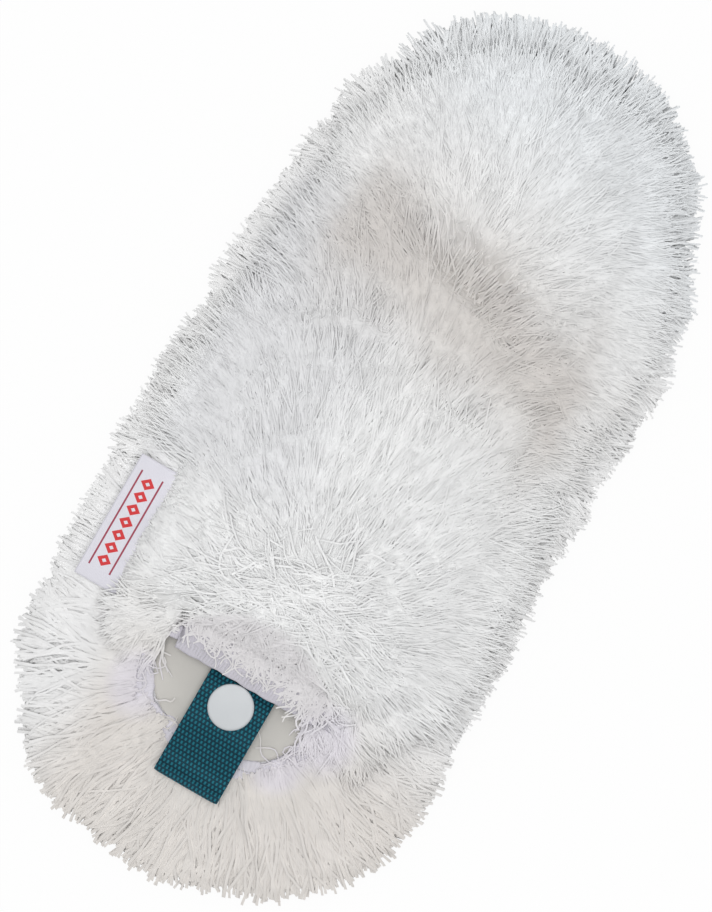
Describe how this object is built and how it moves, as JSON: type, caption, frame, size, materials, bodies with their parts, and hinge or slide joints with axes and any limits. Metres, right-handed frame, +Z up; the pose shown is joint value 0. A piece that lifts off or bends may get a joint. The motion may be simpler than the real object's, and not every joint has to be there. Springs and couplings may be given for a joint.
{
  "type": "duster cover",
  "caption": "Slip-on duster cover with long pile on both faces, a lined pocket, a folded webbing strap with a press stud and a woven side label.",
  "frame": {"origin": "under the middle of the pile, on the surface that the cover lies on", "axes": "+X along the cover to its closed end, +Y to the side with the label, +Z up"},
  "size_m": [0.33, 0.158, 0.058],
  "materials": {
    "white_pile": "bright white microfibre yarn",
    "warm_pile": "white microfibre yarn with a warm cast",
    "knit_backing": "knitted backing fabric",
    "cream_lining": "smooth woven lining",
    "lilac_hem": "folded and overlocked hem",
    "white_thread": "sewing thread",
    "teal_webbing": "plain woven webbing",
    "teal_thread": "sewing thread",
    "snap_metal": "nickel-plated brass",
    "snap_cap_white": "white-grey lacquered cap",
    "label_ribbon": "woven satin ribbon"
  },
  "bodies": {
    "cover": {"lower_pile": "warm_pile", "side_pile_left": "white_pile", "side_pile_right": "white_pile", "end_pile": "white_pile", "main_mound": "white_pile", "middle_mound": "white_pile", "end_mound": "white_pile", "lower_panel": "knit_backing", "lower_lining": "cream_lining", "lower_mouth_hem": "lilac_hem", "lower_hem_thread": "white_thread", "side_seam": "lilac_hem", "upper_panel": "knit_backing", "upper_lining": "cream_lining", "strap_base": "teal_webbing", "strap_thread": "teal_thread", "strap_fold": "teal_webbing", "snap_back_cap": "snap_metal", "snap_stud": "snap_metal", "label_root": "label_ribbon"},
    "strap": {"strap_flap": "teal_webbing", "snap_socket": "snap_metal", "snap_spring": "snap_metal", "snap_cap": "snap_cap_white"},
    "mouth_lip": {"upper_mouth_hem": "lilac_hem", "upper_hem_thread": "white_thread"},
    "label": {"label_flap": "label_ribbon"}
  },
  "joints": [
    {"name": "strap_unfold", "type": "hinge", "parent": "cover", "child": "strap", "pos_m": [-0.12675, -0.002, 0.02675], "axis": [0, -1, 0], "range_deg": [0, 165], "deforming": ["strap_fold"]},
    {"name": "mouth_open", "type": "hinge", "parent": "cover", "child": "mouth_lip", "pos_m": [-0.07875, -0.002, 0.0318], "axis": [0, 1, 0], "range_deg": [0, 35]},
    {"name": "label_flip", "type": "hinge", "parent": "cover", "child": "label", "pos_m": [-0.0611, 0.05385, 0.029], "axis": [1, 0, 0], "range_deg": [0, 80]}
  ]
}
